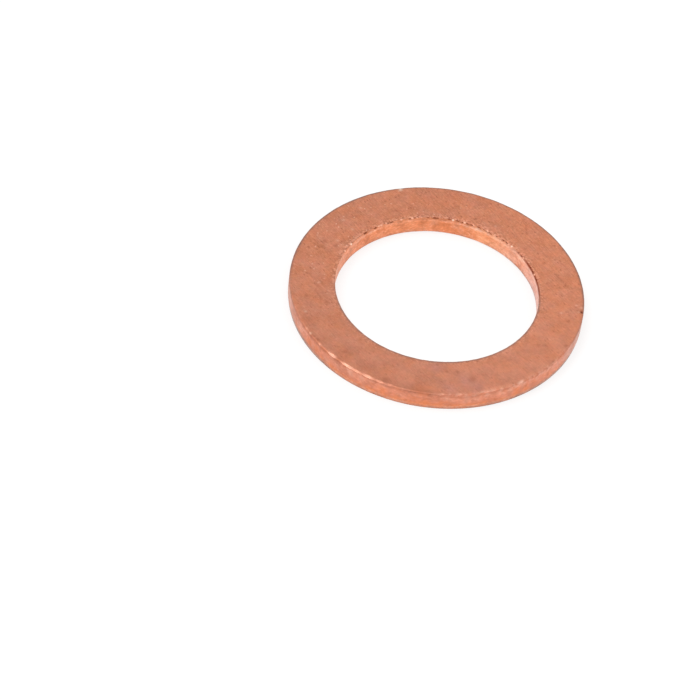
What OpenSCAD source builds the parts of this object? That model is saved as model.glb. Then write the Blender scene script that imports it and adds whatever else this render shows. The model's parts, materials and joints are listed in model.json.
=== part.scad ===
// Flat copper crush washer, a single ring punched from soft copper sheet.
// It lies on its lower face, with the origin at the centre of that face and +Z along the bore.

/* [Ring] */
// Outside diameter
outer_d = 15; // [13:0.1:30]
// Bore diameter, a clearance hole for the bolt
bore_d = 10.3; // [6:0.1:11]
// Thickness of the copper sheet
thickness = 1; // [0.8:0.05:3]

/* [Punched edges] */
// Radius of the rounded edge where the sheet was drawn in as the cut began
roll_r = 0.1; // [0.05:0.01:0.35]
// Height of the torn band where the sheet broke through at the end of the cut
torn_h = 0.14; // [0.05:0.01:0.35]
// How far the torn band leans back from the wall at its edge
torn_lean = 0.03; // [0.01:0.005:0.1]

/* [Hidden] */
copper_colour = [0.79, 0.52, 0.41];
ring_fn = 180;
roll_fn = 64;
ring_w = (outer_d - bore_d) / 2;

// The metal missing from a square corner whose edge has rolled over
module rolled_corner() {
    difference() {
        square(roll_r);
        circle(r = roll_r, $fn = roll_fn);
    }
}

// The metal missing from the foot of a wall that tore away
module torn_corner() {
    polygon([[0, 0], [-torn_lean, 0], [0, torn_h]]);
}

// Both corners of the outside wall: rolled at the upper face, torn at the lower one
module wall_corners() {
    translate([ring_w - roll_r, thickness - roll_r]) rolled_corner();
    translate([ring_w, 0]) torn_corner();
}

// The ring's section, from the bore's wall outwards.
// The hole and the outline are cut from opposite sides, so the bore's wall is the outside wall upside down.
module ring_section() {
    difference() {
        square([ring_w, thickness]);
        wall_corners();
        translate([ring_w, thickness]) rotate(180) wall_corners();
    }
}

module washer() {
    color(copper_colour)
        rotate_extrude($fn = ring_fn)
            translate([bore_d / 2, 0]) ring_section();
}

washer();
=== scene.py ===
"""The looks of a flat copper crush washer: a ring punched from soft copper sheet, lying on a white floor.

The ring's detailed skin is worked out in millimetres and stored in metres, as the frame is.
"""
import json
import math

import bpy
import numpy as np
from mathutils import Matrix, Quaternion, Vector, noise


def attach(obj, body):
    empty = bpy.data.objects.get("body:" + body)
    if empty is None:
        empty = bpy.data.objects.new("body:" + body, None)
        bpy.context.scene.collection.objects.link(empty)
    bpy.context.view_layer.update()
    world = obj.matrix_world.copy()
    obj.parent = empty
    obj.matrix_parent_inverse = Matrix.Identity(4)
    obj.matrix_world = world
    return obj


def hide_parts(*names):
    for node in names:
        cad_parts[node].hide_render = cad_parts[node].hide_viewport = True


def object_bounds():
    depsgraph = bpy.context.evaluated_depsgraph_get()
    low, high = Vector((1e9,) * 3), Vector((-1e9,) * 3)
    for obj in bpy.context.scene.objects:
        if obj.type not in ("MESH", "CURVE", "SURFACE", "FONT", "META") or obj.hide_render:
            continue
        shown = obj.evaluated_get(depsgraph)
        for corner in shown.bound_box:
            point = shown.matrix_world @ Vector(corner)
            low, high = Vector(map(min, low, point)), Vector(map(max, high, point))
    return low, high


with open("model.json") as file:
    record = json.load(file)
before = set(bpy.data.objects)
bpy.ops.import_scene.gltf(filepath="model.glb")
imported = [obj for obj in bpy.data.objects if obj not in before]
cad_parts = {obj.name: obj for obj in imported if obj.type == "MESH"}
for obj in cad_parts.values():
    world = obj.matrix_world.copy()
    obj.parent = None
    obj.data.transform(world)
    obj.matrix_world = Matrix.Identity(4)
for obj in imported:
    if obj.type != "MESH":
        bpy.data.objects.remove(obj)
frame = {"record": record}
cad_low, cad_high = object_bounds()

# Sizes of the ring in millimetres, from the frame
MM = 0.001
BOLT_HOLE = next(m for m in frame["record"]["mounts"] if m["name"] == "bolt_hole")
OUTER_R = min(-cad_low.x, cad_high.x) / MM
BORE_R = BOLT_HOLE["dims"]["r_mm"]
MIDDLE_R = (OUTER_R + BORE_R) / 2
THICK = (cad_high.z - cad_low.z) / MM

# Punched edges in millimetres: a rounded one where each cut began, a torn one where it broke through
ROLL_R = 0.10
TORN_H = 0.14
TORN_LEAN = 0.03
# Radius of the hole's torn upper edge
TORN_R = BORE_R + TORN_LEAN

# Mesh of the skin: steps around the ring, and steps along each stretch of its section
AROUND = 960
STEPS = {"upper_face": 40, "lower_face": 8, "roll": 10, "wall": 10, "torn": 8}
# The bake map: the skin unrolled in strips one above another, each with a margin
BAKE_STRIPS = 3
BAKE_MARGIN = 0.01

# Camera, from where the ring's edges lie in the picture
IMAGE_PX = 700
FOCAL_PX = 4500
FACE_CENTRE_PX = (437.18, 288.49)
CAMERA_DISTANCE = 0.22722
CAMERA_ELEVATION = math.radians(43.99)
CAMERA_ROLL = math.radians(8.56)
CAMERA_CLIP = (0.01, 10)
SENSOR_MM = 36

# Floor: its size and its gap below the ring in metres, how much light it scatters, and how bright it looks
FLOOR_SIZE = 4.0
FLOOR_GAP = 0.00001
FLOOR_DIFFUSE = 0.29
FLOOR_GLOW = 0.73
# Light from all round: its strength at the horizon and above, and how high up it is at its full strength
HORIZON_LIGHT = 0.35
SKY_LIGHT = 1.0
SKY_FROM = 0.7
# Square soft lamps: name, direction from the ring, distance and size in metres, and radiance (1 is white)
LAMPS = [
    ("key", (-0.40, -0.10, 0.90), 0.5, 0.30, 2.2),
    ("fill", (0.7, -0.6, 0.7), 0.6, 0.30, 0.8),
]


# The ring's section, as points (radius, height) in millimetres

def spread(count):
    """Shares from 0 to 1, without 1, that lie closer together at both ends."""
    return 0.5 - 0.5 * np.cos(np.linspace(0, math.pi, count, endpoint=False))


def straight(start, end, count):
    share = spread(count)[:, None]
    return (1 - share) * np.array(start) + share * np.array(end)


def arc(centre, start_deg, end_deg, count):
    angle = np.radians(np.linspace(start_deg, end_deg, count, endpoint=False))
    return np.array(centre) + ROLL_R * np.column_stack([np.cos(angle), np.sin(angle)])


def ring_section():
    """The closed section, clockwise from the upper face's inner edge."""
    upper_in = (TORN_R, THICK)
    upper_out = (OUTER_R - ROLL_R, THICK)
    lower_out = (OUTER_R - TORN_LEAN, 0)
    lower_in = (BORE_R + ROLL_R, 0)
    return np.concatenate([
        straight(upper_in, upper_out, STEPS["upper_face"]),
        arc((OUTER_R - ROLL_R, THICK - ROLL_R), 90, 0, STEPS["roll"]),
        straight((OUTER_R, THICK - ROLL_R), (OUTER_R, TORN_H), STEPS["wall"]),
        straight((OUTER_R, TORN_H), lower_out, STEPS["torn"]),
        straight(lower_out, lower_in, STEPS["lower_face"]),
        arc((BORE_R + ROLL_R, ROLL_R), 270, 180, STEPS["roll"]),
        straight((BORE_R, ROLL_R), (BORE_R, THICK - TORN_H), STEPS["wall"]),
        straight((BORE_R, THICK - TORN_H), upper_in, STEPS["torn"]),
    ])


def section_normals(section):
    """The outward normal at each point of the section, from its neighbours."""
    along = np.roll(section, -1, 0) - np.roll(section, 1, 0)
    normal = np.column_stack([-along[:, 1], along[:, 0]])
    return normal / np.linalg.norm(normal, axis=1)[:, None]


# Surfaces along the section, in millimetres
# How far the looks of a rolled edge, of a torn lip and of the broken half of a wall reach
ROLL_REACH = 0.22
LIP_REACH = 0.50
BROKEN_H = 0.60
# Pale band of a rolled edge, from wear and painted highlight: its reach, and on the outer edge how far down
# its middle lies and how many times narrower it is across than up
BLOOM_REACH = 0.40
BLOOM_DROP = 0.08
BLOOM_SQUEEZE = 1.6
# The upper face's shoulder: how far in from the outer edge it lies, and its reach
SHOULDER_IN = 0.09
SHOULDER_REACH = 0.32
# Half width of the dark line along an edge, and the width over which it fades
EDGE_W = 0.05
EDGE_FADE = 0.09
# Where these lines lie: in and down from the outer upper edge, up the outer wall from its foot,
# and into the metal and up from the bore's foot
RIM_IN = ROLL_R / 3
FOOT_LINE_H = 0.08
BORE_FOOT_IN = ROLL_R / 4
BORE_FOOT_H = ROLL_R * 0.8
# How much higher the line at the outer wall's foot reaches where its painted shade is darker
FOOT_RISE = 0.05
# Groove between the broken and the smooth half of the hole's wall: its depth below the edge, and its reach
GROOVE_DEPTH = 0.375
GROOVE_W = 0.12


def fade(distance, reach):
    """1 at no distance, falling smoothly to 0 at reach."""
    share = np.clip(1 - distance / reach, 0, 1)
    return share * share * (3 - 2 * share)


def edge_line(distance):
    return fade(np.maximum(distance - EDGE_W, 0), EDGE_FADE)


def section_masks(section, normals):
    """Where along the section each kind of surface lies, from 0 to 1. run and foot_gap are distances."""
    radius, height = section[:, 0], section[:, 1]
    inside = radius < MIDDLE_R
    above = height > THICK / 2
    # On each wall, depth runs from the torn edge to the rolled one
    depth = np.where(inside, THICK - height, height)
    wall = normals[:, 0] ** 2
    # Way down from the hole's upper edge, below zero on the face
    run = np.where(wall > 0.5, depth, TORN_R - radius)
    upper_corner = np.hypot(radius - OUTER_R, height - THICK)
    lower_corner = np.hypot(radius - BORE_R, height)
    upper_bloom = np.hypot(BLOOM_SQUEEZE * (radius - OUTER_R), height - THICK + BLOOM_DROP)
    return {
        "bore": inside.astype(float),
        "wall": wall,
        "roll": np.maximum(fade(upper_corner, ROLL_REACH), fade(lower_corner, ROLL_REACH)),
        "upper_bloom": fade(upper_bloom, BLOOM_REACH),
        "lower_bloom": fade(lower_corner, BLOOM_REACH),
        "shoulder": fade(np.hypot(radius - OUTER_R + SHOULDER_IN, height - THICK), SHOULDER_REACH),
        "rim": edge_line(np.hypot(radius - OUTER_R + RIM_IN, height - THICK + RIM_IN)),
        "bore_foot": edge_line(np.hypot(radius - BORE_R - BORE_FOOT_IN, height - BORE_FOOT_H)),
        "run": np.where(inside & above, run, THICK),
        "lip": inside * above * (1 - wall) * fade(radius - BORE_R, LIP_REACH),
        "upper_edge": edge_line(np.hypot(radius - TORN_R, height - THICK)),
        "foot_gap": np.hypot(radius - OUTER_R + TORN_LEAN, height - FOOT_LINE_H),
        "ledge": wall * fade(np.abs(depth - TORN_H), TORN_H),
        "broken": wall * fade(depth, BROKEN_H),
        "groove": inside * wall * fade(np.abs(depth - GROOVE_DEPTH), GROOVE_W),
    }


# Places, stretches and noise on the skin

# Width over which one side of the ring fades into the other, as a share of its radius
SIDE_FADE = 0.5
# How far apart the noise of one seed and of the next lies
SEED_STEP = 37.3


def place(angle, radius, height=THICK):
    turn = math.radians(angle)
    return np.array((radius * math.cos(turn), radius * math.sin(turn), height))


def stretch_mask(turns, stretch):
    """1 at a stretch's angle, fading to 0 at half its angle on both sides."""
    angle, half = stretch
    return fade(np.abs((turns - angle + 180) % 360 - 180), half)


def near_side(turns, line_turn):
    """1 on the near side of a line through the ring's middle, fading to 0 across it."""
    return fade(0.5 + np.sin(np.radians(turns - line_turn)) / SIDE_FADE, 1)


def spot_mask(points, centre, width):
    """1 at a place on the ring, fading out over the width."""
    away = np.linalg.norm(points - centre, axis=-1)
    return np.exp(-((away / width) ** 2))


def line_mask(points, start, end, width):
    """1 along a straight line between two places on the ring, fading out over the width."""
    run = end - start
    share = np.clip((points - start) @ run / (run @ run), 0, 1)
    away = np.linalg.norm(points - start - share[..., None] * run, axis=-1)
    return np.exp(-((away / width) ** 2))


def strongest(marks):
    """The strongest of several marks at each point."""
    return np.maximum.reduce(marks)


def graded(levels, ragged):
    """A strength with one level everywhere, and another added where it is ragged."""
    everywhere, where_ragged = levels
    return everywhere + where_ragged * ragged


def face_spots(points, spots):
    """Spots on the upper face, each of which starts with its angle, radius and width."""
    return strongest([spot_mask(points, place(angle, radius), width) for angle, radius, width, *_ in spots])


def noise_at(points, per_mm, seed):
    """Smooth noise from -1 to 1 at each point, with per_mm waves in a millimetre on all axes or on each."""
    places = (points * np.array(per_mm) + seed * SEED_STEP).reshape(-1, 3)
    values = [noise.noise(spot) for spot in places.tolist()]
    return np.array(values).reshape(points.shape[:-1])


def noise_layers(points, layers):
    """Several layers of noise, each with its depth, its waves in a millimetre and its seed."""
    return sum(depth * noise_at(points, per_mm, seed) for depth, per_mm, seed in layers)


# Looks of the edges. A stretch is an angle round the ring and half the stretch's angle, in degrees.
# Turn of the line that parts the near side of the ring, where the hole's edge is darkened with painted
# shade, from the far side
FRONT_TURN = 12
# The same for the outer edge, which is darkened with painted shade on the far side
RIM_TURN = 2
# How dark the lines along the edges are: everywhere, added where ragged, and added on a dark stretch. The
# lines are chipped edges partly darkened with painted shade, and the dark stretches are painted shade
UPPER_EDGE_DARK = (0.1, 0.0, 0.7)
LOWER_EDGE_DARK = (0.24, 0.25, 0.34)
RIM_DARK = (0.65, 0.40, 0.35)
BORE_FOOT_DARK = (0.04, 0.50, 0.45)
# Stretches of painted shade at the outer wall's foot, where it meets the floor, on its right and left, and
# how many times darker the left one is
DARK_FOOT = (-36, 44)
DARK_LEFT_FOOT = (-148, 32)
LEFT_FOOT_GAIN = 1.5
# Stretches of painted shade on the far outer edge and at the bore's foot
DARK_RIM = (128, 30)
DARK_BORE_FOOT = (33, 38)
# Stretches where the painted highlight on the ledge beside a torn edge is stronger and where it is weaker,
# and how much weaker
PALE_LEDGE = (68, 22)
DULL_LEDGE = (106, 28)
DULL_LEDGE_SHARE = 0.6


def darkness(levels, ragged, stretch):
    """How dark a line along an edge is, from its levels everywhere, where it is ragged and on a stretch."""
    everywhere, where_ragged, on_stretch = levels
    return everywhere + where_ragged * ragged + on_stretch * stretch


def add_edges(masks, turns, ragged):
    """The dark lines along the edges, chipped and partly painted shade, and the ledges beside the torn ones,
    whose painted highlight changes along the ring.
    """
    dark_foot = stretch_mask(turns, DARK_FOOT) + LEFT_FOOT_GAIN * stretch_mask(turns, DARK_LEFT_FOOT)
    masks["lower_edge"] = edge_line(masks["foot_gap"] - FOOT_RISE * dark_foot)
    far_rim = masks["rim"] * (1 - near_side(turns, RIM_TURN))
    masks["edge"] = strongest([
        masks["upper_edge"] * darkness(UPPER_EDGE_DARK, ragged, near_side(turns, FRONT_TURN)),
        masks["lower_edge"] * darkness(LOWER_EDGE_DARK, ragged, dark_foot),
        far_rim * darkness(RIM_DARK, ragged, stretch_mask(turns, DARK_RIM)),
        masks["bore_foot"] * darkness(BORE_FOOT_DARK, ragged ** 2, stretch_mask(turns, DARK_BORE_FOOT)),
    ])
    paler = stretch_mask(turns, PALE_LEDGE) - DULL_LEDGE_SHARE * stretch_mask(turns, DULL_LEDGE)
    masks["ledge"] = masks["ledge"] * (1 + paler)


# The outer rolled edge. Angles are in degrees and other sizes in millimetres, here and below.
# Stretches where it is pale from wear with painted highlight, and where painted shade darkens it
BLOOM_SIDE = (-54, 52)
PAINTED_SHADE_SIDE = (-91, 21)
# How strong the painted shade on the near stretch is, and the dark blotches of painted shade that break up
# the pale one
PAINTED_SHADE_SHARE = 0.7
BLOTCH_SHARE = 0.3
# How deep the wear cuts where it is pale, and how strong the painted highlight on the bore's lower edge is
WORN_DEPTH = 0.03
LOWER_BLOOM_SHARE = 0.6
# The dark seam below it, a tool mark deepened with painted shade: its width and strength, the stretch where
# it lies lower, and how much lower
SEAM_W = ROLL_R * 1.3
SEAM_SHARE = 0.6
SEAM_LOW = (-74, 22)
SEAM_DROP = 0.09
# Stretches where the seam fades, and how much of it
SEAM_GAPS = [((-28, 46), 1.0), ((-117, 13), 0.7), ((-90.5, 9), 0.7), ((-166, 28), 0.6)]
# Small dark spots on the outer wall and its rolled edge: angle, radius, height and width
WALL_SPECKS = [
    (-141.1, 7.42, 1.00, 0.10), (-138.2, 7.33, 1.00, 0.08), (-98, 7.50, 0.48, 0.08), (-61, 7.50, 0.35, 0.06),
    (-53, 7.36, 1.00, 0.06), (-47.2, 7.50, 0.58, 0.07), (-44, 7.46, 0.98, 0.06), (-32, 7.38, 1.00, 0.06),
]
# Burnished flats on it, with painted highlight: angle, half their angle, tilt from level, depth and shine,
# the strength of that highlight
FLATS = [
    (-145.2, 1.0, 27, 0.018, 0.3), (-135.8, 0.9, 27, 0.018, 0.3), (-128.8, 2.0, 27, 0.032, 0.75),
    (-120.9, 2.7, 28, 0.030, 0.65), (-116.6, 1.8, 28, 0.026, 0.45), (-111.5, 2.3, 26, 0.034, 0.52),
    (-106.8, 1.8, 28, 0.022, 0.25), (-102.6, 1.2, 28, 0.020, 0.14), (-82.3, 0.9, 22, 0.026, 0.35),
    (-75.5, 1.1, 22, 0.026, 0.25), (-65.5, 1.8, 23, 0.034, 0.30), (-62.2, 1.3, 23, 0.036, 0.45),
    (-56.5, 2.2, 24, 0.034, 0.20), (-50.0, 1.5, 30, 0.044, 0.85), (-44.0, 1.8, 28, 0.032, 0.20),
    (-32.0, 2.2, 30, 0.028, 0.30),
]
# How far a flat and the painted highlight halo round it fade out, in half angles
FLAT_SPREAD = 1.5
HALO_SPREAD = 1.8
# How strong a flat's painted highlight is everywhere, and what is added where it is ragged
FLAT_GLEAM = (0.4, 0.7)
# How steeply a flat's painted highlight and its depth begin
GLEAM_GAIN = 2
FLAT_GAIN = 2.5


def add_rolled_edge(masks, points, section, turns, blotch):
    """Where the outer rolled edge is pale from wear with painted highlight and where painted shade darkens
    it, with the dark line and spots below it.
    """
    bloom_side = stretch_mask(turns, BLOOM_SIDE)
    masks["worn"] = masks["upper_bloom"] * bloom_side
    # The bore's lower rolled edge gets painted highlight only
    masks["bloom"] = np.maximum(masks["worn"], LOWER_BLOOM_SHARE * masks["lower_bloom"])
    seam_h = THICK - ROLL_R - SEAM_DROP * stretch_mask(turns, SEAM_LOW)
    seam = masks["wall"] * (1 - masks["bore"]) * fade(np.abs(seam_h - section[:, 1]), SEAM_W)
    for stretch, share in SEAM_GAPS:
        seam *= 1 - share * stretch_mask(turns, stretch)
    # Painted shade that takes the highlight off the shoulder of the near side
    painted_shade = masks["shoulder"] * stretch_mask(turns, PAINTED_SHADE_SIDE)
    # Blotches of painted shade that break up the pale stretch
    blotches = masks["roll"] * blotch * bloom_side
    darks = [SEAM_SHARE * seam, PAINTED_SHADE_SHARE * painted_shade, BLOTCH_SHARE * blotches]
    for angle, radius, height, width in WALL_SPECKS:
        darks.append(spot_mask(points, place(angle, radius, height), width))
    masks["seam"] = strongest(darks)


def add_flats(masks, section, turns, ragged):
    """The burnished flats: their painted highlight, the painted pale halo round each, and their depth as
    flat_cut.
    """
    rise_r = section[:, 0] - OUTER_R + ROLL_R
    rise_z = section[:, 1] - THICK + ROLL_R
    on_edge = np.minimum(FLAT_GAIN * masks["upper_bloom"], 1)
    cuts, gleams, halos = [], [], [masks["bloom"]]
    for angle, half, tilt, depth, shine in FLATS:
        lean = math.radians(tilt)
        over = np.maximum(rise_r * math.sin(lean) + rise_z * math.cos(lean) - ROLL_R + depth, 0)
        cut = stretch_mask(turns, (angle, half * FLAT_SPREAD)) * over * on_edge
        cuts.append(cut)
        gleams.append(shine * np.minimum(cut / depth * GLEAM_GAIN, 1) * graded(FLAT_GLEAM, ragged))
        halos.append(shine * stretch_mask(turns, (angle, half * HALO_SPREAD)) * masks["upper_bloom"])
    masks["flat_cut"] = strongest(cuts)
    masks["flat"] = strongest(gleams)
    masks["bloom"] = strongest(halos)


# The hole's torn upper edge
# Dark tears: angle and half their angle
TEARS = [
    (141.0, 1.4), (133.6, 1.0), (125.4, 1.0), (122.8, 1.0), (111.6, 0.6), (108.8, 0.7), (101.2, 0.6),
    (97.2, 1.3), (95.6, 0.6), (88.8, 1.3), (84.2, 0.8), (81.3, 0.5), (78.4, 1.1), (75.8, 1.2), (71.4, 1.1),
    (59.9, 0.9), (55.0, 0.8), (52.3, 0.9), (42.6, 0.8), (39.8, 1.1), (29.6, 0.7), (26.2, 0.6), (19.5, 1.0),
]
# A tear's depth, half its width for each degree of half its angle, the width over which it fades,
# and how many half angles it fades over
TEAR_DEPTH = 0.03
TEAR_W = 0.027
TEAR_FADE = 0.04
TEAR_SPREAD = 1.6
# How far down it lies, how far it strays, and with how many waves in a millimetre
TEAR_RUN = -0.012
TEAR_STRAY = 0.06
STRAY_WAVES = 1.3
# How dark it is everywhere, and what is added where it is ragged
TEAR_DARK = (0.75, 0.25)
# Fine cracks that run from the edge down the hole's wall: the angle and depth of both ends
CRACKS = [((68.4, 0.0), (63.2, 0.07))]
# Their width, and how dark they are
CRACK_W = 0.035
CRACK_SHARE = 0.8
# Stretch where the edge is dark all along, rust with painted shade, and how steeply this dark band begins
BRINK_SIDE = (21, 25)
BRINK_GAIN = 1.8
# How far down it lies, its half width and its fading
BRINK_RUN = 0.022
BRINK_W = 0.052
BRINK_FADE = 0.04
# How dark it is everywhere, and what is added where it is ragged
BRINK_DARK = (0.85, 0.2)
# How far up the face pale crumbs of torn metal lie, and the width of their band
CRUMB_RUN = -0.08
CRUMB_W = 0.11
# Their waves in a millimetre, and how sharp they are
CRUMB_WAVES = 5
CRUMB_GAIN = 3
# A stretch with fewer of them, and the share that is gone there
CRUMB_GAP = (50, 16)
CRUMB_GAP_SHARE = 0.6
# Burrs, whose strongest parts carry a painted highlight: angle, width and strength
BURRS = [
    (163.4, 0.04, 0.3), (160.6, 0.06, 0.6), (153.8, 0.065, 1.0), (131.2, 0.055, 0.6), (129.5, 0.06, 0.6),
    (126.1, 0.06, 0.6), (116.7, 0.06, 0.6), (110.2, 0.06, 0.7), (107.5, 0.045, 0.4), (104.9, 0.04, 0.3),
    (86.9, 0.065, 1.0), (80.1, 0.06, 0.8), (74.7, 0.05, 0.6), (66, 0.06, 0.7), (61, 0.05, 0.6),
    (50.9, 0.055, 0.7), (48.4, 0.06, 1.0), (37.5, 0.045, 0.5), (23.4, 0.055, 0.7),
]
# How far a burr stands out
BURR_RISE = 0.012
# Its spot is strengthened and cut off, so that it ends sharply
BURR_GAIN = 1.7
BURR_CUT = 0.15


def add_torn_edge(masks, points, turns, ragged):
    """Tears and cracks, the dark band, partly painted shade, pale crumbs, and burrs with painted highlight.
    """
    run = masks["run"]
    stray = TEAR_RUN + TEAR_STRAY * noise_at(points[:, :1] * (1, 1, 0), STRAY_WAVES, seed=12)
    tears = []
    for angle, half in TEARS:
        torn = fade(np.maximum(np.abs(run - stray) - TEAR_W * half, 0), TEAR_FADE)
        tears.append(stretch_mask(turns, (angle, half * TEAR_SPREAD)) * torn * graded(TEAR_DARK, ragged))
    for (start, start_depth), (end, end_depth) in CRACKS:
        upper = place(start, TORN_R, THICK - start_depth)
        lower = place(end, TORN_R, THICK - end_depth)
        tears.append(CRACK_SHARE * line_mask(points, upper, lower, CRACK_W))
    masks["tear"] = strongest(tears)

    band = fade(np.maximum(np.abs(run - BRINK_RUN) - BRINK_W, 0), BRINK_FADE)
    brink_side = np.minimum(BRINK_GAIN * stretch_mask(turns, BRINK_SIDE), 1)
    masks["brink"] = brink_side * band * graded(BRINK_DARK, ragged)
    crumbs = np.clip(CRUMB_GAIN * noise_at(points, CRUMB_WAVES, seed=13), 0, 1)
    crumbs *= 1 - near_side(turns, FRONT_TURN)
    crumbs *= 1 - CRUMB_GAP_SHARE * stretch_mask(turns, CRUMB_GAP)
    masks["crumb"] = crumbs * fade(np.abs(run - CRUMB_RUN), CRUMB_W)
    burrs = []
    for angle, width, strength in BURRS:
        mark = BURR_GAIN * spot_mask(points, place(angle, TORN_R), width) - BURR_CUT
        burrs.append(strength * np.clip(mark, 0, 1))
    masks["burr"] = strongest(burrs)


# Single marks on the upper face and the outer wall
# Dark nicks in the outer edge: angle, radius, width and depth
NICKS = [(-0.8, 7.41, 0.095, 0.06)]
# Painted highlights on the upper face, two of them in small dents: angle, radius, width, depth and strength
GLINTS = [
    (111.0, 7.35, 0.10, 0.015, 0.7), (-142.6, 7.43, 0.065, 0.015, 0.32), (-154.4, 7.03, 0.07, 0.0, 0.3),
]
# Faint dark stains on the upper face: angle, radius and width
STAINS = [
    (-163.5, 6.69, 0.10), (-162, 6.30, 0.12), (-158, 5.82, 0.13), (163.5, 6.35, 0.11), (159.8, 6.39, 0.11),
    (159.6, 5.77, 0.10), (148, 7.32, 0.10), (134.5, 6.57, 0.10), (117, 5.91, 0.11), (65, 5.80, 0.10),
    (43, 5.64, 0.10), (30, 6.02, 0.10), (21.5, 6.28, 0.08), (-8, 6.84, 0.10), (-21.5, 7.32, 0.10),
    (-26.5, 6.48, 0.09), (-28.5, 6.17, 0.09), (-68, 6.44, 0.22), (-74, 5.90, 0.10), (-79.3, 5.86, 0.10),
    (-105, 7.19, 0.18), (-126.5, 6.75, 0.11), (-127.5, 5.57, 0.10), (-139, 7.33, 0.08),
    (-140.4, 7.35, 0.06), (-0.5, 7.17, 0.05), (1.3, 7.06, 0.05),
]
# Faint pale spots on the upper face: angle, radius and width
SPOTS = [
    (156, 5.88, 0.08), (143, 6.60, 0.08), (144.5, 5.82, 0.08), (131.7, 6.75, 0.07), (64.5, 5.75, 0.07),
    (-3.7, 6.38, 0.07), (-172, 6.00, 0.07), (1.3, 7.35, 0.07), (-1.3, 7.25, 0.06), (2.3, 7.09, 0.05),
]
# Broad patches of the upper face that are dimmer, and some that are pinker: angle, radius and width
DIMS = [
    (-150, 7.20, 0.30), (-126, 7.15, 0.55), (-115, 6.95, 0.50), (-103, 7.15, 0.50), (-91, 7.20, 0.45),
    (53, 7.15, 0.40), (78, 7.10, 0.50), (89, 7.05, 0.55), (99, 6.75, 0.45), (-174, 5.60, 0.45),
]
PINKS = [(-79, 7.15, 0.45), (-68, 7.05, 0.50), (-84, 5.60, 0.40), (-72, 6.60, 0.45)]
# Scratches on the upper face: the angle and radius of both ends
SCRATCHES = [
    ((22, 6.28), (12, 6.79)), ((54, 6.85), (50, 6.42)),
    ((-161, 6.0), (-168, 6.25)), ((139, 6.5), (136, 6.4)),
]
# Their width, and how dark they are
SCRATCH_W = 0.05
SCRATCH_SHARE = 0.8
# Orange patches on the outer wall: angle, height and width
WALL_SMEARS = [
    (-105, 0.52, 0.24), (-99, 0.38, 0.20), (-88, 0.40, 0.22), (-61, 0.34, 0.07), (-51.5, 0.48, 0.24),
    (-47.5, 0.46, 0.24), (-43, 0.60, 0.14), (-142, 0.50, 0.26), (-137, 0.55, 0.26),
]
# Pale patches on the outer wall, partly mottling and partly painted highlight below the rolled edge: angle,
# height, width and strength
WALL_PALES = [
    (-150, 0.60, 0.35, 0.16), (-119, 0.80, 0.16, 0.28), (-114, 0.78, 0.18, 0.28), (-78, 0.62, 0.18, 0.12),
    (-72, 0.64, 0.18, 0.14), (-65, 0.78, 0.10, 0.18), (-57.5, 0.64, 0.10, 0.16), (-54.3, 0.76, 0.13, 0.34),
    (-49.2, 0.90, 0.10, 0.40), (-48.0, 0.84, 0.10, 0.34), (-42, 0.72, 0.12, 0.20), (-37, 0.75, 0.16, 0.16),
    (-33, 0.60, 0.12, 0.16), (-22, 0.5, 0.3, 0.08),
]


def add_marks(masks, points):
    for name, spots in (("nick", NICKS), ("spot", SPOTS), ("dim", DIMS), ("pink", PINKS)):
        masks[name] = face_spots(points, spots)
    stains = [face_spots(points, STAINS)]
    for start, end in SCRATCHES:
        stains.append(SCRATCH_SHARE * line_mask(points, place(*start), place(*end), SCRATCH_W))
    masks["stain"] = strongest(stains)
    masks["glint"] = strongest([
        strength * spot_mask(points, place(angle, radius), width)
        for angle, radius, width, _, strength in GLINTS
    ])
    masks["smear"] = strongest([
        spot_mask(points, place(angle, OUTER_R, height), width)
        for angle, height, width in WALL_SMEARS
    ])
    masks["pale"] = strongest([
        strength * spot_mask(points, place(angle, OUTER_R, height), width)
        for angle, height, width, strength in WALL_PALES
    ])


# Noise that breaks up the masks: waves in a millimetre, seed and gain
RAGGED_NOISE = (5, 9, 1.6)
BLOTCH_NOISE = (1.5, 10, 2.0)


def steep_noise(points, per_mm, seed, gain):
    """Noise from 0 to 1, made steeper by the gain."""
    return 0.5 + 0.5 * np.clip(gain * noise_at(points, per_mm, seed), -1, 1)


def skin_masks(points, section, normals, turns):
    """All masks at each point of the skin, which its relief and its copper follow."""
    masks = section_masks(section, normals)
    ragged = steep_noise(points, *RAGGED_NOISE)
    add_edges(masks, turns, ragged)
    add_rolled_edge(masks, points, section, turns, steep_noise(points, *BLOTCH_NOISE))
    add_flats(masks, section, turns, ragged)
    add_torn_edge(masks, points, turns, ragged)
    add_marks(masks, points)
    return masks


# Relief

# Layers of noise on the rolled edges, and for chips in the torn ones: depth, waves in a millimetre and seed
ROLL_LAYERS = [(0.008, 1.3, 1), (0.005, 3.2, 2), (0.003, 8, 3)]
CHIP_LAYERS = [(1.0, 4, 4), (0.6, 9, 5)]
# A chip's depth where its noise is zero, how much the noise adds, and the noise below which it is steady
CHIP_DEPTH = 0.003
CHIP_CHANGE = 0.012
CHIP_FLOOR = -0.2
# Mean depth of the hollows in the broken half of a wall, in a whole wall and in a face
BROKEN_HOLLOW = 0.003
WALL_HOLLOW = 0.0015
FACE_HOLLOW = 0.0015
# Their waves in a millimetre, and those of the worn edge
BROKEN_WAVES = (5, 5, 3)
WALL_WAVES = (5, 5, 0.5)
FACE_WAVES = 0.8
WORN_WAVES = 1.2
# Share of the wear everywhere, and what its noise adds
WORN_LEVELS = (0.8, 0.6)


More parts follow.
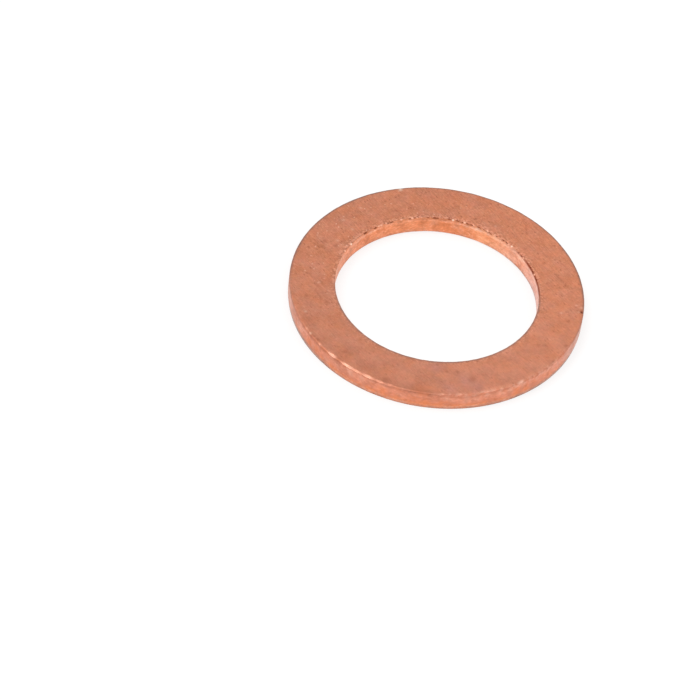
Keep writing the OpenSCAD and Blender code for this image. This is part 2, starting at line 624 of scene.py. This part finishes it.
def relief(points, masks):
    """How far each point of the skin moves along its outward normal, in millimetres."""
    wall = masks["wall"]
    move = masks["roll"] * noise_layers(points, ROLL_LAYERS)
    chips = CHIP_DEPTH + CHIP_CHANGE * np.maximum(noise_layers(points, CHIP_LAYERS), CHIP_FLOOR)
    move -= (masks["upper_edge"] + masks["lower_edge"]) * chips
    move -= masks["tear"] * TEAR_DEPTH
    move += masks["burr"] * BURR_RISE
    move -= masks["broken"] * BROKEN_HOLLOW * (1 + noise_at(points, BROKEN_WAVES, seed=6))
    move -= wall * WALL_HOLLOW * (1 + noise_at(points, WALL_WAVES, seed=7))
    move -= (1 - wall) * FACE_HOLLOW * (1 + noise_at(points, FACE_WAVES, seed=8))
    move -= masks["worn"] * WORN_DEPTH * graded(WORN_LEVELS, noise_at(points, WORN_WAVES, seed=11))
    move -= masks["flat_cut"]
    for angle, radius, width, depth, *_ in NICKS + GLINTS:
        move -= depth * spot_mask(points, place(angle, radius), width)
    return move


# The skin's mesh

# Masks that the copper's looks follow, stored on the mesh
LOOKS = [
    "wall", "bore", "roll", "bloom", "edge", "lip", "ledge", "broken", "groove", "seam", "flat", "tear",
    "brink", "crumb", "burr", "nick", "glint", "stain", "spot", "smear", "pale", "dim", "pink",
]


def bake_map(section):
    """Each quad's corners on the bake map, which runs round the ring across and along the section up."""
    steps = np.linalg.norm(np.roll(section, -1, 0) - section, axis=1)
    ends = np.concatenate([[0], np.cumsum(steps)]) / steps.sum()
    per_strip = AROUND // BAKE_STRIPS
    strip, step = np.divmod(np.arange(AROUND), per_strip)
    across = 1 - np.stack([step, step, step + 1, step + 1], -1)[:, None] / per_strip
    up = np.stack([ends[:-1], ends[1:], ends[1:], ends[:-1]], -1)[None]
    across = BAKE_MARGIN + (1 - 2 * BAKE_MARGIN) * across
    up = BAKE_MARGIN + (1 - 2 * BAKE_MARGIN) * up
    up = (strip[:, None, None] + up) / BAKE_STRIPS
    return np.stack(np.broadcast_arrays(across, up), -1)


def ring_skin():
    """The washer's skin: the section carried round the ring, with its relief."""
    section = ring_section()
    normals = section_normals(section)
    turns = np.linspace(-180, 180, AROUND, endpoint=False)[:, None]
    angle = np.radians(turns)
    cos, sin = np.cos(angle), np.sin(angle)
    level = np.ones_like(angle)
    points = np.stack([cos * section[:, 0], sin * section[:, 0], level * section[:, 1]], -1)
    outward = np.stack([cos * normals[:, 0], sin * normals[:, 0], level * normals[:, 1]], -1)
    masks = skin_masks(points, section, normals, turns)
    points = points + outward * relief(points, masks)[..., None]
    points[..., 2] = np.clip(points[..., 2], 0, THICK)

    count = len(section)
    here = np.arange(AROUND * count).reshape(AROUND, count)
    ahead = np.roll(here, -1, 0)
    quads = np.stack([here, np.roll(here, -1, 1), np.roll(ahead, -1, 1), ahead], -1)
    mesh = bpy.data.meshes.new("copper_washer")
    mesh.from_pydata((points * MM).reshape(-1, 3).tolist(), [], quads.reshape(-1, 4).tolist())
    for name in LOOKS:
        values = np.broadcast_to(masks[name], (AROUND, count)).astype(np.float32)
        mesh.attributes.new(name, "FLOAT", "POINT").data.foreach_set("value", values.ravel())
    mesh.uv_layers.new(name="OFBake").data.foreach_set("uv", bake_map(section).ravel())
    mesh.polygons.foreach_set("use_smooth", [True] * len(mesh.polygons))
    mesh.update()
    skin = bpy.data.objects.new("copper_washer", mesh)
    bpy.context.scene.collection.objects.link(skin)
    return skin


# Nodes of the materials

class Nodes:
    """Adds nodes to a tree. An input is a value, or another node's output."""

    def __init__(self, tree):
        self.tree = tree
        tree.nodes.clear()

    def add(self, kind, inputs=(), **settings):
        node = self.tree.nodes.new(kind)
        for name, value in settings.items():
            setattr(node, name, value)
        for name, value in dict(inputs).items():
            if isinstance(value, bpy.types.NodeSocket):
                self.tree.links.new(value, node.inputs[name])
            else:
                node.inputs[name].default_value = value
        return node

    def math(self, operation, first, second=0.0):
        return self.add("ShaderNodeMath", {0: first, 1: second}, operation=operation).outputs[0]

    def total(self, first, *others):
        for other in others:
            first = self.math("ADD", first, other)
        return first

    def product(self, first, *others):
        for other in others:
            first = self.math("MULTIPLY", first, other)
        return first

    def largest(self, first, *others):
        for other in others:
            first = self.math("MAXIMUM", first, other)
        return first

    def scaled(self, vector, factors):
        inputs = {0: vector, 1: factors}
        return self.add("ShaderNodeVectorMath", inputs, operation="MULTIPLY").outputs[0]

    def axes(self, vector):
        return self.add("ShaderNodeSeparateXYZ", {0: vector}).outputs

    def noise(self, vector, scale, detail=2.0, roughness=0.5):
        """Noise from 0 to 1, with scale waves in a unit of the vector."""
        inputs = {"Vector": vector, "Scale": scale, "Detail": detail, "Roughness": roughness}
        return self.add("ShaderNodeTexNoise", inputs).outputs["Fac"]

    def cells(self, vector, scale):
        """Cells, scale of them in a unit of the vector: colour of each, and distance from its middle."""
        return self.add("ShaderNodeTexVoronoi", {"Vector": vector, "Scale": scale}).outputs

    def ramp(self, value, low, high, to_low=0.0, to_high=1.0):
        """A smooth step: to_low where the value is low, and to_high where it is high."""
        inputs = {"Value": value, "From Min": low, "From Max": high, "To Min": to_low, "To Max": to_high}
        return self.add("ShaderNodeMapRange", inputs, interpolation_type="SMOOTHSTEP").outputs[0]

    def mix(self, share, first, second, blend="MIX"):
        inputs = {0: share, 6: first, 7: second}
        return self.add("ShaderNodeMix", inputs, data_type="RGBA", blend_type=blend).outputs[2]

    def straight_lines(self, vector, degrees, width, length):
        """Coordinates in which noise makes lines of this width and length, turned by degrees."""
        turn = (0, 0, math.radians(degrees))
        inputs = {"Vector": vector, "Rotation": turn, "Scale": (length, width, width)}
        return self.add("ShaderNodeMapping", inputs, vector_type="TEXTURE").outputs[0]

    def attribute(self, name):
        return self.add("ShaderNodeAttribute", attribute_name=name).outputs["Fac"]

    def paint(self, mask, share, colour, paint):
        """Puts a paint over a colour where one of the mesh's masks is, at this share of it."""
        return self.mix(self.product(self.attribute(mask), share), colour, paint)


# Colours of the copper: faces, dark marks, pale marks, changes of a face's colour, outer wall and bore
FACE_WARM = (0.642, 0.240, 0.130, 1)
FACE_PINK = (0.627, 0.257, 0.163, 1)
STAIN_AND_SHADE = (0.36, 0.120, 0.066, 1)
EDGE_AND_SHADE = (0.33, 0.173, 0.133, 1)
DARK = (0.19, 0.045, 0.019, 1)
TORN = (0.21, 0.034, 0.008, 1)
RUST_AND_SHADE = (0.36, 0.080, 0.033, 1)
PALE = (0.98, 0.60, 0.46, 1)
CRUMB = (0.98, 0.48, 0.32, 1)
PAINTED_GLINT = (1.0, 0.74, 0.58, 1)
DIM = (0.92, 0.87, 0.84, 1)
PINK = (0.965, 1.01, 1.16, 1)
WALL_TOP = (0.75, 0.285, 0.176, 1)
WALL_FOOT = (0.745, 0.260, 0.127, 1)
WALL_SIDE = (0.66, 0.330, 0.250, 1)
BORE_LEFT = (0.82, 0.300, 0.146, 1)
BORE_FAR = (0.93, 0.395, 0.205, 1)
BORE_RIGHT = (0.93, 0.455, 0.320, 1)
BORE_END = (0.93, 0.505, 0.400, 1)
BORE_COOL = (0.74, 0.46, 0.42, 1)
ORANGE = (0.76, 0.235, 0.095, 1)
SMEAR = (0.60, 0.170, 0.065, 1)
# Turns of the sheet's rolling lines and of two sets of fine scratches
LINES_TURN = -48
SCRATCH_TURNS = (-38, 80)
# Roughness at the grain's lows and highs, and how much rougher rolled edges are
GRAIN_ROUGH = (0.38, 0.50)
ROLL_ROUGH = 0.14
# How much smoother burnished patches are, and the lines along edges and the bright marks
FLASH_SMOOTH = 0.06
EDGE_SMOOTH = 0.12
# Depth in metres of the finest relief, which the mesh leaves to the material
BUMP_DEPTH = 0.000008


def copper_face(n, mm, axes, grain, pits):
    """Colour and height of the rolled faces: patches, grain, fine lines, specks, stains and scratches."""
    near = n.ramp(axes["Y"], 2.0, -6.5)
    patches = n.total(n.noise(mm, 1.2, 3, 0.55), n.product(near, 0.17))
    face = n.mix(n.ramp(patches, 0.31, 0.82), FACE_WARM, FACE_PINK)
    # Painted light: the face is lighter to the right and darker towards the near side
    level = n.product(n.ramp(axes["X"], -6, 5, 0.966, 1.043), n.ramp(axes["Y"], -6.5, 0, 0.962, 1.0))

    # Grain, lines and specks. The far left of the face is more worn than its near right.
    wear = n.ramp(n.total(axes["Y"], n.product(axes["X"], -0.15)), -5.5, 4.5, 0.66, 1.40)
    calm = n.ramp(axes["Y"], -6, 3, 1.3, 0.9)
    fine = n.product(wear, n.ramp(n.attribute("lip"), 0.0, 1.0, 1.0, 4.0))
    lines = n.noise(n.straight_lines(mm, LINES_TURN, 0.055, 0.6), 1.0, 2, 0.6)
    speck = n.axes(n.cells(mm, 12.0)["Color"])["X"]
    wobble = n.total(
        n.product(n.ramp(grain, 0.25, 0.75, -0.05, 0.05), calm),
        n.product(n.ramp(lines, 0.25, 0.75, -0.075, 0.075), wear),
        n.product(n.ramp(speck, 0.0, 1.0, -0.035, 0.035), fine),
        n.product(n.ramp(n.noise(mm, 1.3, 2, 0.5), 0.3, 0.7, -0.045, 0.045), calm),
    )
    face = n.mix(1.0, face, n.product(n.total(wobble, 1.0), level), "MULTIPLY")
    face = n.mix(n.attribute("dim"), face, DIM, "MULTIPLY")
    face = n.mix(n.attribute("pink"), face, PINK, "MULTIPLY")
    hue = n.noise(mm, 3.1, 2, 0.6)
    reds = n.ramp(hue, 0.25, 0.75, 1.02, 0.98)
    greens = n.ramp(hue, 0.25, 0.75, 0.985, 1.015)
    tint = n.add("ShaderNodeCombineXYZ", {0: reds, 1: greens, 2: 1.0}).outputs[0]
    face = n.mix(1.0, face, tint, "MULTIPLY")
    face = n.mix(n.product(n.ramp(speck, 0.55, 1.0, 0.0, 0.04), fine), face, PALE)

    # Short dark dashes along the lines, and pale dots, mostly on the far left
    dashes = n.cells(n.straight_lines(mm, LINES_TURN, 0.11, 0.26), 1.0)
    few_dashes = n.ramp(n.axes(dashes["Color"])["X"], 0.84, 0.86)
    dark_dashes = n.product(n.ramp(dashes["Distance"], 0.45, 0.15), few_dashes, wear)
    dots = n.cells(mm, 7.0)
    few_dots = n.ramp(n.axes(dots["Color"])["X"], 0.90, 0.92)
    uneven_dots = n.total(dots["Distance"], n.ramp(n.noise(mm, 11, 1), 0.3, 0.7, -0.12, 0.12))
    far_left = n.product(n.ramp(axes["X"], 5, -4, 0.35, 1.1), n.ramp(axes["Y"], -4, 2, 0.4, 1.0))
    pale_dots = n.product(n.ramp(uneven_dots, 0.36, 0.18), few_dots, wear, far_left)
    face = n.mix(n.product(dark_dashes, 0.45), face, STAIN_AND_SHADE)
    face = n.mix(n.product(pale_dots, 0.30), face, PALE)

    # Scratches, pits, stains and spots
    long_scratches = n.noise(n.straight_lines(mm, SCRATCH_TURNS[0], 0.06, 1.6), 1.0, 1)
    short_scratches = n.noise(n.straight_lines(mm, SCRATCH_TURNS[1], 0.05, 1.2), 1.0, 1)
    scratches = n.largest(n.ramp(long_scratches, 0.68, 0.78), n.ramp(short_scratches, 0.70, 0.80))
    stain = n.attribute("stain")
    dirt = n.largest(n.product(pits, wear, 0.42), n.product(scratches, wear, 0.32), n.product(stain, 0.45))
    face = n.mix(dirt, face, STAIN_AND_SHADE)
    face = n.paint("spot", 0.35, face, PALE)
    dips = n.total(n.product(pits, 0.6), n.product(scratches, 0.5), n.product(stain, 0.4))
    return face, n.math("SUBTRACT", n.total(grain, n.product(lines, 0.5)), dips)


def outer_wall(n, axes, cloud):
    """The outer wall's broad colours: pink above, orange on its broken foot, and duller and greyer at both
    sides, a painted reflection.
    """
    foot = n.ramp(n.total(n.attribute("broken"), n.ramp(cloud, 0.25, 0.75, -0.35, 0.35)), 0.15, 0.75)
    sides = n.largest(n.ramp(axes["X"], 6.5, 7.4), n.ramp(axes["X"], -6.2, -7.4))
    return n.mix(sides, n.mix(foot, WALL_TOP, WALL_FOOT), WALL_SIDE)


def bore_wall(n, axes):
    """The bore's broad colours, painted light: orange on the left and in the middle, with a painted warm
    reflection there, to a lighter pink at its lit right end.
    """
    wall = n.mix(n.ramp(axes["X"], 0.8, 2.2), BORE_LEFT, BORE_FAR)
    wall = n.mix(n.ramp(axes["X"], 1.8, 4.4), wall, BORE_RIGHT)
    end = n.ramp(axes["X"], 4.2, 5.0)
    wall = n.mix(end, wall, BORE_END)
    # Painted shade at the foot of the bore's right end
    wall = n.mix(n.product(end, n.ramp(axes["Z"], 0.65, 0.15, 0.0, 0.6)), wall, BORE_COOL)
    return n.mix(n.ramp(n.math("ABSOLUTE", axes["X"]), 1.4, 0.2, 0.0, 0.54), wall, ORANGE)


def copper_wall(n, mm, axes, pits):
    """Colour and height of the punched walls: broad colours with soft clouds, fibres, smears and streaks."""
    streaks = n.noise(n.scaled(mm, (1, 1, 0.25)), 3.2, 2, 0.55)
    cloud = n.noise(mm, 2.0, 3, 0.6)
    hue = n.noise(n.scaled(mm, (1, 1, 1.5)), 1.7, 2, 0.5)
    fibres = n.noise(n.scaled(mm, (1, 1, 1.8)), 5.5, 2, 0.6)
    smears = n.noise(n.scaled(mm, (1, 1, 1.5)), 3.4, 3, 0.65)
    bore = n.attribute("bore")
    walls = n.mix(bore, outer_wall(n, axes, cloud), bore_wall(n, axes))
    walls = n.mix(n.ramp(hue, 0.54, 0.76, 0.0, 0.22), walls, PALE)
    walls = n.mix(n.ramp(hue, 0.50, 0.28, 0.0, 0.50), walls, ORANGE)
    walls = n.paint("groove", 0.30, walls, ORANGE)
    # Painted highlight: a broken pale line on the ledge below the torn edge, also lifted in the tone below
    walls = n.paint("ledge", n.ramp(n.noise(mm, 5.0, 2, 0.6), 0.35, 0.65, 0.08, 0.42), walls, PALE)
    # The bore has stronger fibres than the outer wall
    fibre_share = n.ramp(bore, 0.0, 1.0, 0.5, 1.0)
    walls = n.mix(n.product(n.ramp(fibres, 0.56, 0.76, 0.0, 0.34), fibre_share), walls, PALE)
    walls = n.paint("smear", 0.65, walls, ORANGE)
    walls = n.paint("pale", 1.0, walls, PALE)
    tone = n.total(
        n.ramp(streaks, 0.25, 0.75, -0.04, 0.04),
        n.product(n.ramp(fibres, 0.25, 0.75, -0.15, 0.15), fibre_share),
        n.ramp(cloud, 0.25, 0.75, 0.88, 1.12),
        n.product(n.attribute("ledge"), 0.05),
    )
    walls = n.mix(1.0, walls, tone, "MULTIPLY")
    walls = n.mix(n.ramp(smears, 0.56, 0.73, 0.0, 0.42), walls, SMEAR)
    return n.mix(n.product(pits, 0.35), walls, STAIN_AND_SHADE), streaks


def copper():
    """Worn copper: its faces and walls, and the marks along its edges."""
    material = bpy.data.materials.new("copper")
    material.use_nodes = True
    n = Nodes(material.node_tree)
    mm = n.scaled(n.add("ShaderNodeTexCoord").outputs["Object"], (1 / MM, 1 / MM, 1 / MM))
    axes = n.axes(mm)
    wall, roll, edge = n.attribute("wall"), n.attribute("roll"), n.attribute("edge")
    grain = n.noise(mm, 3.6, 3, 0.6)
    pits = n.ramp(n.noise(mm, 3.0, 3, 0.65), 0.60, 0.80)
    face, face_height = copper_face(n, mm, axes, grain, pits)
    walls, wall_height = copper_wall(n, mm, axes, pits)
    colour = n.mix(wall, face, walls)

    # Rolled edge: a broken pale band of wear and painted highlight, the dark seam below it, partly painted
    # shade, and burnished flats and patches that carry painted highlight
    colour = n.paint("bloom", n.ramp(n.noise(mm, 4.3, 3, 0.6), 0.40, 0.66, 0.0, 0.42), colour, PALE)
    # Painted shade: the seam, the near stretch and the blotches of the rolled edge are darkened here, along
    # with the real dark specks
    colour = n.paint("seam", 0.52, colour, STAIN_AND_SHADE)
    patchy = n.product(n.ramp(n.noise(mm, 2.4, 3, 0.6), 0.52, 0.68), roll)
    flash = n.largest(n.attribute("flat"), n.product(patchy, 0.20))
    colour = n.mix(n.product(flash, 0.60), colour, PALE)

    # Dark lines along the edges, the torn one's crumbs, dark band with painted shade, tears and burrs, and
    # glints and nicks; glints and strong burrs are painted highlights
    # Dark lines along the edges: chipped edges, with painted shade at the walls' feet, along the far outer
    # edge and at the hole's near edge
    worn = n.product(edge, n.ramp(n.noise(mm, 6, 2, 0.6), 0.62, 0.40, 0.55, 1.0))
    colour = n.mix(worn, colour, EDGE_AND_SHADE)
    colour = n.paint("crumb", 0.42, colour, CRUMB)
    colour = n.paint("brink", 1.0, colour, RUST_AND_SHADE)
    colour = n.paint("tear", 1.0, colour, TORN)
    burr = n.attribute("burr")
    colour = n.mix(n.ramp(burr, 0.0, 0.45), colour, CRUMB)
    glint = n.largest(n.attribute("glint"), n.ramp(burr, 0.55, 1.0))
    colour = n.mix(glint, colour, PAINTED_GLINT)
    colour = n.paint("nick", 1.0, colour, DARK)

    rough = n.total(n.ramp(grain, 0.2, 0.8, *GRAIN_ROUGH), n.product(roll, ROLL_ROUGH))
    rough = n.math("SUBTRACT", rough, n.product(flash, FLASH_SMOOTH))
    rough = n.math("SUBTRACT", rough, n.product(n.largest(edge, glint), EDGE_SMOOTH))
    height = n.total(face_height, n.product(wall, wall_height))
    bump = n.add("ShaderNodeBump", {"Height": height, "Strength": 1.0, "Distance": BUMP_DEPTH}).outputs[0]
    inputs = {"Base Color": colour, "Metallic": 1.0, "Roughness": rough, "Normal": bump}
    shader = n.add("ShaderNodeBsdfPrincipled", inputs)
    n.add("ShaderNodeOutputMaterial", {"Surface": shader.outputs[0]})
    return material


def floor_white():
    """White to the camera and in reflections, with the ring's soft shadow on it."""
    material = bpy.data.materials.new("floor_white")
    material.use_nodes = True
    n = Nodes(material.node_tree)
    path = n.add("ShaderNodeLightPath").outputs
    seen = n.largest(path["Is Camera Ray"], path["Is Glossy Ray"], path["Is Transmission Ray"])
    glow = n.add("ShaderNodeEmission", {"Strength": n.product(seen, FLOOR_GLOW)})
    matt = n.add("ShaderNodeBsdfDiffuse", {"Color": (FLOOR_DIFFUSE, FLOOR_DIFFUSE, FLOOR_DIFFUSE, 1)})
    both = n.add("ShaderNodeAddShader", {0: glow.outputs[0], 1: matt.outputs[0]})
    n.add("ShaderNodeOutputMaterial", {"Surface": both.outputs[0]})
    return material


# Stage, light and camera

def make_floor():
    half = FLOOR_SIZE / 2
    corners = [(-half, -half), (half, -half), (half, half), (-half, half)]
    mesh = bpy.data.meshes.new("floor")
    mesh.from_pydata([(x, y, cad_low.z - FLOOR_GAP) for x, y in corners], [], [(0, 1, 2, 3)])
    mesh.materials.append(floor_white())
    floor = bpy.data.objects.new("floor", mesh)
    bpy.context.scene.collection.objects.link(floor)


def make_world():
    """Soft light from all round, a little dimmer towards the horizon."""
    world = bpy.data.worlds.new("studio")
    world.use_nodes = True
    n = Nodes(world.node_tree)
    up = n.axes(n.add("ShaderNodeTexCoord").outputs["Generated"])["Z"]
    strength = n.ramp(up, 0.0, SKY_FROM, HORIZON_LIGHT, SKY_LIGHT)
    back = n.add("ShaderNodeBackground", {"Color": (1, 1, 1, 1), "Strength": strength})
    n.add("ShaderNodeOutputWorld", {"Surface": back.outputs[0]})
    bpy.context.scene.world = world


def make_lamp(name, toward, distance, size, radiance):
    """A square soft lamp that shines on the ring."""
    light = bpy.data.lights.new(name, "AREA")
    light.size = size
    light.energy = radiance * math.pi * size * size
    lamp = bpy.data.objects.new(name, light)
    lamp.location = Vector(toward).normalized() * distance
    lamp.rotation_mode = "QUATERNION"
    lamp.rotation_quaternion = lamp.location.to_track_quat("Z", "Y")
    bpy.context.scene.collection.objects.link(lamp)


def make_camera():
    """Looks at the middle of the upper face from the picture's angle, and puts it at its place there."""
    data = bpy.data.cameras.new("camera")
    data.sensor_width = SENSOR_MM
    data.lens = FOCAL_PX * SENSOR_MM / IMAGE_PX
    data.clip_start, data.clip_end = CAMERA_CLIP
    camera = bpy.data.objects.new("camera", data)
    back = Vector((0, -math.cos(CAMERA_ELEVATION), math.sin(CAMERA_ELEVATION)))
    camera.location = Vector((0, 0, cad_high.z)) + back * CAMERA_DISTANCE
    right_px = FACE_CENTRE_PX[0] - IMAGE_PX / 2
    up_px = IMAGE_PX / 2 - FACE_CENTRE_PX[1]
    to_centre = Vector((right_px, up_px, -FOCAL_PX))
    aim = (-back).to_track_quat("-Z", "Y")
    roll = Quaternion((0, 0, 1), CAMERA_ROLL)
    camera.rotation_mode = "QUATERNION"
    camera.rotation_quaternion = aim @ roll @ to_centre.rotation_difference(Vector((0, 0, -1)))
    bpy.context.scene.collection.objects.link(camera)
    bpy.context.scene.camera = camera


make_camera()
make_floor()
make_world()
for settings in LAMPS:
    make_lamp(*settings)
bpy.context.scene.view_settings.view_transform = "Standard"

washer = ring_skin()
washer.data.materials.append(copper())
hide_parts("washer")
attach(washer, "root")
